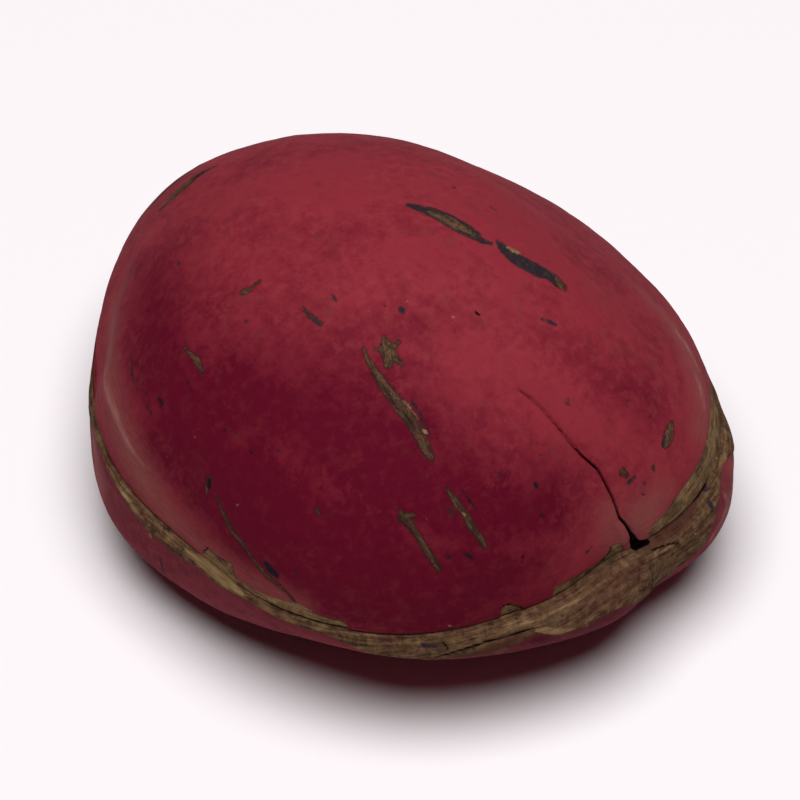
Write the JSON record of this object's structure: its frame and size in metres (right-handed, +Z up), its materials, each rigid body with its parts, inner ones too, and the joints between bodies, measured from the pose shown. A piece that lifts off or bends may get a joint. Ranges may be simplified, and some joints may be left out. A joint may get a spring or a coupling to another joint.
{
  "type": "kola nut",
  "caption": "Kola nut, a plump egg-shaped seed of two fleshy halves pressed face to face along a brown seam, with a cleft at one end, lying on its lower half.",
  "frame": {"origin": "on the ground under the middle of the nut's box", "axes": "+X along the nut towards the end with the cleft, +Z up through the crown, seam close to level"},
  "size_m": [0.042, 0.0352, 0.0233],
  "materials": {
    "upper_skin": "crimson seed skin, satin, finely wrinkled, with olive and blue-black scars",
    "lower_skin_and_ledge": "crimson seed skin with a fibrous brown margin along the seam"
  },
  "bodies": {
    "root": {"upper_cotyledon": "upper_skin", "lower_cotyledon": "lower_skin_and_ledge"}
  },
  "joints": []
}
